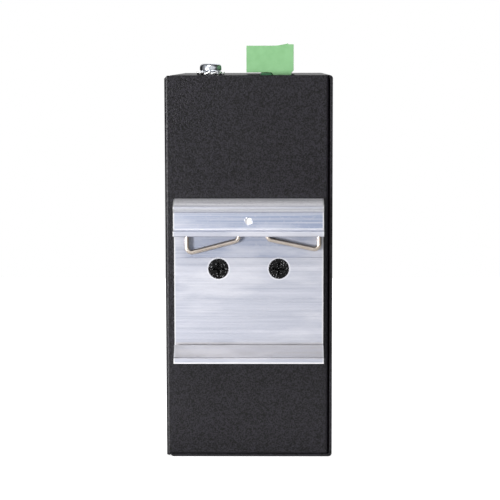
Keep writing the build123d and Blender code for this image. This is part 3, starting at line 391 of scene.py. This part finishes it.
# Power pieces on the board: capacitors in silvery sleeves, a ferrite inductor, a
# relay in a pale plastic case and surge absorbers dipped in blue resin.
can_sleeve = plain_finish(
    "can_sleeve", (0.5, 0.51, 0.54), (0.42, 0.43, 0.46),
    roughness=0.3, scale=700.0, depth=0.00001, metallic=1.0,
)
ferrite = plain_finish(
    "ferrite", (0.05, 0.05, 0.052), (0.035, 0.035, 0.036),
    roughness=0.65, scale=900.0, depth=0.00004,
)
relay_case = plain_finish(
    "relay_case", (0.62, 0.62, 0.58), (0.58, 0.58, 0.54),
    roughness=0.35, scale=400.0, depth=0.00001,
)
blue_dip = plain_finish(
    "blue_dip", (0.02, 0.08, 0.35), (0.015, 0.06, 0.3),
    roughness=0.4, scale=500.0, depth=0.00002,
)
for name, finish in (
    ("filter_capacitors", can_sleeve),
    ("power_inductor", ferrite),
    ("alarm_relay", relay_case),
    ("surge_absorbers", blue_dip),
):
    dress(nodes[name], finish)


# Jack block: eight network sockets moulded in one black piece, inside a folded
# nickel silver shield, with gold plated spring contacts.
black_moulding = plain_finish(
    "black_moulding", (0.018, 0.018, 0.019), (0.012, 0.012, 0.013),
    roughness=0.5, scale=700.0, depth=0.00003,
)
nickel_silver = plain_finish(
    "nickel_silver", (0.66, 0.65, 0.61), (0.58, 0.57, 0.54),
    roughness=0.3, scale=700.0, depth=0.00002, metallic=1.0,
)
gold = plain_finish(
    "gold_plate", (0.83, 0.6, 0.22), (0.75, 0.52, 0.18),
    roughness=0.25, scale=800.0, depth=0.00001, metallic=1.0,
)
for name, finish in (
    ("jack_housing", black_moulding),
    ("jack_shell", nickel_silver),
    ("jack_contacts", gold),
):
    dress(nodes[name], finish)


# Line transformers and clock crystal: both are soldered to the main board. The
# transformers are black mouldings, the crystal is a small nickel silver can.
dress(nodes["line_transformers"], black_moulding)
dress(nodes["clock_crystal"], nickel_silver)


# Port lamps and status lamps: milky plastic that shows pale green unlit.
# A black moulded holder carries the three status lamps to the tray's front.
milky_lens = plain_finish(
    "milky_lens", (0.62, 0.7, 0.6), (0.58, 0.66, 0.56),
    roughness=0.2, scale=400.0, depth=0.00001,
)
for name, finish in (
    ("port_lamps", milky_lens),
    ("status_lamps", milky_lens),
    ("lamp_holder", black_moulding),
):
    dress(nodes[name], finish)


# Power header: the plug's socket, moulded in darker green, with tinned pins.
# It stands on the main board and comes up through the tray's top.
header_edge = 0.00012
dark_green = plain_finish(
    "dark_green_moulding", (0.04, 0.17, 0.07), (0.03, 0.14, 0.055),
    roughness=0.45, scale=500.0, depth=0.00001,
)
rounded_copy(
    "power_header", "header_body", "switch", dark_green, header_edge
)
tin = plain_finish(
    "tin_plate", (0.66, 0.65, 0.62), (0.56, 0.55, 0.52),
    roughness=0.3, scale=800.0, depth=0.00001, metallic=1.0,
)
dress(nodes["header_pins"], tin)


# Cover: left side and back, folded from one sheet with the same black coat.
# It slips inside the tray's edges and is held by flush screws in both sides.
rounded_copy("cover", "cover_sheet", "switch", black_coat, sheet_edge)


# Cover screws: small black plated flat heads, flush in the two sides.
# The plating is thin and a little glossy, with small glints painted on it as pale flecks.
cover_screw_edge = 0.00008
plate_grain, plate_depth = 3400.0, 0.0001
plate_black, painted_glint_grey = (0.003, 0.0028, 0.003), (0.5, 0.5, 0.52)

black_plate, tree, shader = new_finish("black_plating", specular=0.16)
glint = mapped_noise(tree, plate_grain, detail=1.0)
# Painted glints: pale flecks scattered in the black plating.
plate_colour = mixed_colours(tree, in_range(tree, glint, 0.67, 0.74), plate_black, painted_glint_grey)
tree.links.new(plate_colour, shader.inputs["Base Color"])
tree.links.new(in_range(tree, glint, 0.3, 0.7, 0.2, 0.3), shader.inputs["Roughness"])
tree.links.new(raised(tree, glint, plate_depth), shader.inputs["Normal"])
rounded_copy(
    "cover_screws", "cover_screw_heads", "switch", black_plate, cover_screw_edge
)


# DIN clip: one aluminium extrusion sawn to width, with fine draw lines along it,
# sawn ends at each side and a staked dent in its upper lip. Painted shade darkens
# the lip face, recess and ramp; painted highlights brighten the shoulder, lip
# corners, hook edge, sawn ends, screw rings and dent.
clip_edge = 0.00012
clip_half = 0.02225
lip_low, lip_high = 0.0701, 0.0746
lip_corners = ((0.0695, 0.0700), (0.0750, 0.0761))
recess_low, recess_high = 0.0609, 0.0678
recess_shade_end, recess_open_start = 0.016, 0.021
shoulder_low, shoulder_blend = 0.0769, 0.0004
ramp_low, ramp_high = 0.0315, 0.0354
hook_low, hook_high = 0.0303, 0.0305
stake_place, stake_torn_edge = (0.00005, 0.0722), 0.00045
stake_inner, stake_outer = 0.00095, 0.00115
screw_place = (0.009, 0.0576)
ring_inner, ring_outer = 0.00306, 0.00345
draw_depth = 0.00005
drawn_dark, drawn_light = (0.385, 0.4, 0.465), (0.5, 0.51, 0.575)
lip_shade_blue, recess_blue = (0.235, 0.285, 0.405), (0.24, 0.285, 0.41)
ramp_grey, cloud_white = (0.47, 0.46, 0.48), (0.76, 0.75, 0.78)
shoulder_highlight_white, corner_painted_light_grey = (0.98, 0.97, 1.0), (0.7, 0.7, 0.73)
streak_grey, fleck_grey = (0.48, 0.5, 0.57), (0.5, 0.5, 0.55)
sawn_metal_and_highlight_grey, hook_highlight_white = (0.62, 0.62, 0.64), (0.97, 0.96, 0.97)
ring_highlight_white, stake_metal_and_highlight_white = (0.9, 0.89, 0.9), (1.0, 0.99, 0.99)


def sums(tree, operation, first, second=0.0):
    made = shader_node(tree, "ShaderNodeMath", operation=operation)
    for socket, value in zip(made.inputs, (first, second)):
        if isinstance(value, float):
            socket.default_value = value
        else:
            tree.links.new(value, socket)
    return made.outputs["Value"]


def band(tree, value, low, high, edge):
    rise = in_range(tree, value, low - edge, low + edge, smooth=True)
    fall = in_range(tree, value, high - edge, high + edge, 1.0, 0.0, smooth=True)
    return sums(tree, "MULTIPLY", rise, fall)


def distance_from(tree, across, up, place):
    step_across = sums(tree, "SUBTRACT", across, place[0])
    step_up = sums(tree, "SUBTRACT", up, place[1])
    square_across = sums(tree, "MULTIPLY", step_across, step_across)
    square_up = sums(tree, "MULTIPLY", step_up, step_up)
    return sums(tree, "SQRT", sums(tree, "ADD", square_across, square_up))


clip_metal, tree, shader = new_finish("drawn_aluminium", metallic=0.85)
place = shader_node(tree, "ShaderNodeTexCoord")
axes = shader_node(tree, "ShaderNodeSeparateXYZ")
tree.links.new(place.outputs["Object"], axes.inputs["Vector"])
across, up = axes.outputs["X"], axes.outputs["Z"]
from_middle = sums(tree, "ABSOLUTE", across)
streak = mapped_noise(tree, 1.0, (20.0, 1900.0, 1900.0), roughness=0.6)
wide_streak = mapped_noise(tree, 1.0, (16.0, 1600.0, 1600.0), detail=3.0, roughness=0.75)
cloud = mapped_noise(tree, 1.0, (45.0, 170.0, 170.0), detail=4.0)
fleck = mapped_noise(tree, 1.0, (1100.0, 2000.0, 2000.0))
torn = mapped_noise(tree, 1500.0)

# Painted bluish shade over the lip's face, broken by the draw streaks.
lip_painted_shade = sums(
    tree, "MULTIPLY", band(tree, up, lip_low, lip_high, 0.0003),
    in_range(tree, wide_streak, 0.4, 0.6, 0.85, 0.3),
)
recess_shade = sums(
    tree, "MULTIPLY", band(tree, up, recess_low, recess_high, 0.0003),
    in_range(tree, from_middle, recess_shade_end, recess_open_start, 0.55, 0.1, smooth=True),
)
ramp_shade = band(tree, up, ramp_low, ramp_high, 0.0002)
clouds = in_range(tree, cloud, 0.45, 0.62, 0.0, 0.35)
# Painted highlight: the shoulder's top is whitened as if lit from above.
shoulder_painted_highlight = in_range(
    tree, up, shoulder_low - shoulder_blend, shoulder_low + shoulder_blend, 0.0, 0.9
)
# Painted light that lifts the shaded lower rim of the lip and the crease above it.
lower_corner_painted_light, upper_corner_painted_light = (
    sums(tree, "MULTIPLY", band(tree, up, low, high, 0.0002), 0.9) for low, high in lip_corners
)
dark_streaks = in_range(tree, streak, 0.36, 0.55, 0.4, 0.0)
dark_flecks = in_range(tree, fleck, 0.34, 0.44, 0.3, 0.0)
# Sawn ends: partly bare sawn metal and partly a painted highlight where the edge catches light.
sawn_ends_and_highlight = in_range(tree, from_middle, clip_half - 0.0004, clip_half - 0.0003)
# Painted highlight along the hook's lower edge, standing in for the floor's reflection.
hook_edge_highlight = in_range(tree, up, hook_low, hook_high, 1.0, 0.0)
screw_distance = distance_from(tree, from_middle, up, screw_place)
# Painted highlight ring round each countersink's edge.
screw_ring_highlight = sums(
    tree, "MULTIPLY", band(tree, screw_distance, ring_inner, ring_outer, 0.00004), 0.3
)
# The staked dent: partly fresh bare metal and partly a painted highlight where its facets catch
# light.
stake_distance = sums(
    tree, "ADD", distance_from(tree, across, up, stake_place),
    in_range(tree, torn, 0.3, 0.7, -stake_torn_edge, stake_torn_edge),
)
stake_dent_and_highlight = in_range(tree, stake_distance, stake_inner, stake_outer, 1.0, 0.0)

clip_colour = mixed_colours(tree, in_range(tree, wide_streak, 0.36, 0.64), drawn_dark, drawn_light)
for mask, colour in (
    (lip_painted_shade, lip_shade_blue),
    (recess_shade, recess_blue),
    (ramp_shade, ramp_grey),
    (clouds, cloud_white),
    (shoulder_painted_highlight, shoulder_highlight_white),
    (lower_corner_painted_light, corner_painted_light_grey),
    (upper_corner_painted_light, corner_painted_light_grey),
    (dark_streaks, streak_grey),
    (dark_flecks, fleck_grey),
    (sawn_ends_and_highlight, sawn_metal_and_highlight_grey),
    (hook_edge_highlight, hook_highlight_white),
    (screw_ring_highlight, ring_highlight_white),
    (stake_dent_and_highlight, stake_metal_and_highlight_white),
):
    clip_colour = mixed_colours(tree, mask, clip_colour, colour)
fleck_height = sums(tree, "MULTIPLY", fleck, 0.4)
stake_height = sums(tree, "MULTIPLY", torn, stake_dent_and_highlight)
clip_height = sums(
    tree, "ADD", sums(tree, "MULTIPLY", streak, 0.5), sums(tree, "ADD", fleck_height, stake_height)
)
tree.links.new(clip_colour, shader.inputs["Base Color"])
tree.links.new(in_range(tree, streak, 0.3, 0.7, 0.48, 0.6), shader.inputs["Roughness"])
tree.links.new(raised(tree, clip_height, draw_depth), shader.inputs["Normal"])
rounded_copy(
    "din_clip", "rail_clip", "switch", clip_metal, clip_edge, sharp=22
)


# Clip spring: one piece of hard nickel-plated wire, bent cold to two arms that
# press on the rail, and caught in the clip's channel by the staked dent.
wire_grain = 420.0
wire_dark, wire_light = (0.66, 0.575, 0.495), (0.72, 0.64, 0.565)

wire_metal, tree, shader = new_finish("nickel_wire", metallic=1.0)
drawn = mapped_noise(tree, wire_grain)
wire_colour = mixed_colours(tree, in_range(tree, drawn, 0.35, 0.65), wire_dark, wire_light)
tree.links.new(wire_colour, shader.inputs["Base Color"])
tree.links.new(in_range(tree, drawn, 0.3, 0.7, 0.3, 0.36), shader.inputs["Roughness"])
rounded_copy("clip_spring", "rail_spring", "switch", wire_metal, 0, smooth=50)


# Clip screws: two black flat heads with a cross recess, flush in the clip, with
# the same thin plating as the cover screws. Two zinc nuts hold them inside.
clip_screw_edge = 0.0001
rounded_copy(
    "clip_screws", "clip_screw_heads", "switch", black_plate, clip_screw_edge
)
dress(nodes["clip_nuts"], zinc)


# Power plug: moulded in light green plastic, with slightly round edges. It slides
# up off its header and takes its zinc clamps and tinned contacts with it.
plug_edge = 0.00018
light_green = plain_finish(
    "light_green_moulding", (0.2, 0.41, 0.195), (0.176, 0.375, 0.171),
    roughness=0.42, scale=500.0, depth=0.00001,
)
rounded_copy(
    "power_plug", "plug_body", "plug", light_green, plug_edge
)
for name, finish in (("plug_clamps", zinc), ("plug_clamp_screws", zinc), ("plug_contacts", tin)):
    dress(nodes[name], finish)


# Floor: a sheet of plain pale paper under the switch. The camera sees it lifted
# to white, and it keeps the soft shadow.
floor_size, floor_place = 0.5, (0, 0.13, -0.0002)
paper_white, paper_lift = (0.9, 0.9, 0.9, 1.0), 0.8

bpy.ops.object.select_all(action="DESELECT")
bpy.ops.mesh.primitive_plane_add(size=floor_size, location=floor_place)
floor = bpy.context.object
floor.name = "floor"
paper, tree, shader = new_finish("white_paper", specular=0.0)
shader.inputs["Base Color"].default_value = paper_white
shader.inputs["Roughness"].default_value = 1.0
glow = shader_node(tree, "ShaderNodeEmission")
seen = shader_node(tree, "ShaderNodeLightPath")
lift = shader_node(tree, "ShaderNodeAddShader")
pick = shader_node(tree, "ShaderNodeMixShader")
glow.inputs["Strength"].default_value = paper_lift
tree.links.new(shader.outputs["BSDF"], lift.inputs[0])
tree.links.new(glow.outputs["Emission"], lift.inputs[1])
tree.links.new(seen.outputs["Is Camera Ray"], pick.inputs["Fac"])
tree.links.new(shader.outputs["BSDF"], pick.inputs[1])
tree.links.new(lift.outputs["Shader"], pick.inputs[2])
tree.links.new(pick.outputs["Shader"], tree.nodes["Material Output"].inputs["Surface"])
dress(floor, paper)


# Surround: a white room. Glossy pieces mirror its backdrop and, on the camera's
# side, two bright walls with a duller stretch between them.
room_light = 0.45
wall_levels = (
    (-0.9, 0.3), (-0.75, 1.3), (-0.4, 1.1), (-0.28, 0.75),
    (-0.02, 0.75), (0.12, 1.1), (0.45, 0.9), (0.65, 0.1),
)
backdrop_levels = ((-0.7, 0.05), (-0.3, 1.0), (0.3, 1.0), (0.7, 0.05))
height_levels = ((-0.35, 0.06), (-0.15, 1.0), (0.35, 1.0), (0.65, 0.5), (0.9, 0.12))


def soft_steps(tree, value, levels):
    ramp = shader_node(tree, "ShaderNodeValToRGB")
    ramp.color_ramp.interpolation = "EASE"
    stops = ramp.color_ramp.elements
    stops.remove(stops[1])
    for where, level in levels:
        stop = stops.new((where + 1.0) / 2.0)
        stop.color = (level, level, level, 1.0)
    stops.remove(stops[0])
    tree.links.new(in_range(tree, value, -1.0, 1.0), ramp.inputs["Fac"])
    return ramp.outputs["Color"]


world = bpy.data.worlds.new("white_surround")
bpy.context.scene.world = world
world.use_nodes = True
tree = world.node_tree
tree.nodes.clear()
seen = shader_node(tree, "ShaderNodeLightPath")
direction = shader_node(tree, "ShaderNodeTexCoord")
parts = shader_node(tree, "ShaderNodeSeparateXYZ")
tree.links.new(direction.outputs["Generated"], parts.inputs["Vector"])
sideways, farther, higher = parts.outputs["X"], parts.outputs["Y"], parts.outputs["Z"]
behind_camera = soft_steps(tree, sideways, wall_levels)
backdrop = sums(
    tree, "MULTIPLY", in_range(tree, higher, 0.1, 0.3, 0.18, 1.0, smooth=True),
    soft_steps(tree, sideways, backdrop_levels),
)
around = shader_node(tree, "ShaderNodeMix", data_type="FLOAT")
tree.links.new(in_range(tree, farther, -0.05, 0.3, smooth=True), around.inputs[0])
tree.links.new(behind_camera, around.inputs[2])
tree.links.new(backdrop, around.inputs[3])
mirrored = sums(tree, "MULTIPLY", around.outputs[0], soft_steps(tree, higher, height_levels))
strength = shader_node(tree, "ShaderNodeMix", data_type="FLOAT")
strength.inputs[2].default_value = room_light
tree.links.new(seen.outputs["Is Glossy Ray"], strength.inputs[0])
tree.links.new(mirrored, strength.inputs[3])
white = shader_node(tree, "ShaderNodeBackground")
studio = shader_node(tree, "ShaderNodeBackground")
for light in (white, studio):
    light.inputs["Color"].default_value = (1.0, 1.0, 1.0, 1.0)
tree.links.new(strength.outputs[0], studio.inputs["Strength"])
see_through = sums(
    tree, "MAXIMUM", seen.outputs["Is Camera Ray"], seen.outputs["Is Transmission Ray"]
)
pick = shader_node(tree, "ShaderNodeMixShader")
out = shader_node(tree, "ShaderNodeOutputWorld")
tree.links.new(see_through, pick.inputs["Fac"])
tree.links.new(studio.outputs["Background"], pick.inputs[1])
tree.links.new(white.outputs["Background"], pick.inputs[2])
tree.links.new(pick.outputs["Shader"], out.inputs["Surface"])


# Lamps: four soft round ones. The key lamp stands to the left, lower than the
# case's top, so that the top doesn't mirror it at a low angle.
def soft_lamp(name, place, aim, size, power):
    bpy.ops.object.select_all(action="DESELECT")
    bpy.ops.object.light_add(type="AREA", location=place)
    lamp = bpy.context.object
    lamp.name = name
    lamp.data.shape = "DISK"
    lamp.data.size = size
    lamp.data.energy = power
    lamp.rotation_euler = (Vector(aim) - Vector(place)).to_track_quat("-Z", "Y").to_euler()


soft_lamp("key_lamp", (-0.55, -0.66, 0.01), aim=(0, 0, 0.08), size=0.2, power=6.7)
soft_lamp("fill_lamp", (0.7, -0.8, 0.3), aim=(0, 0, 0.06), size=0.5, power=0.5)
soft_lamp("front_top_lamp", (-0.2, -0.5, 0.75), aim=(0, 0, 0.09), size=0.4, power=4.5)
soft_lamp("far_lamp", (0.1, 0.8, 0.8), aim=(0, 0, 0.06), size=0.6, power=1.0)


# Camera where the photographer stood: level with the top of the case, half a
# metre behind it, and tipped down a little. Its turns are in degrees.
camera_place = (0.006624, -0.5398, 0.119494)
camera_turn, camera_tip, camera_roll = 0.7171, 6.4497, -0.1131

bpy.ops.object.select_all(action="DESELECT")
bpy.ops.object.camera_add(location=camera_place)
camera = bpy.context.object
turned = (
    Matrix.Rotation(radians(camera_turn), 3, "Z")
    @ Matrix.Rotation(radians(90 - camera_tip), 3, "X")
    @ Matrix.Rotation(radians(camera_roll), 3, "Z")
)
camera.rotation_euler = turned.to_euler()
camera.data.sensor_width = 36.0
camera.data.lens = 121.098
camera.data.clip_start = 0.01
camera.data.clip_end = 20.0
bpy.context.scene.camera = camera
bpy.context.scene.view_settings.view_transform = "Standard"
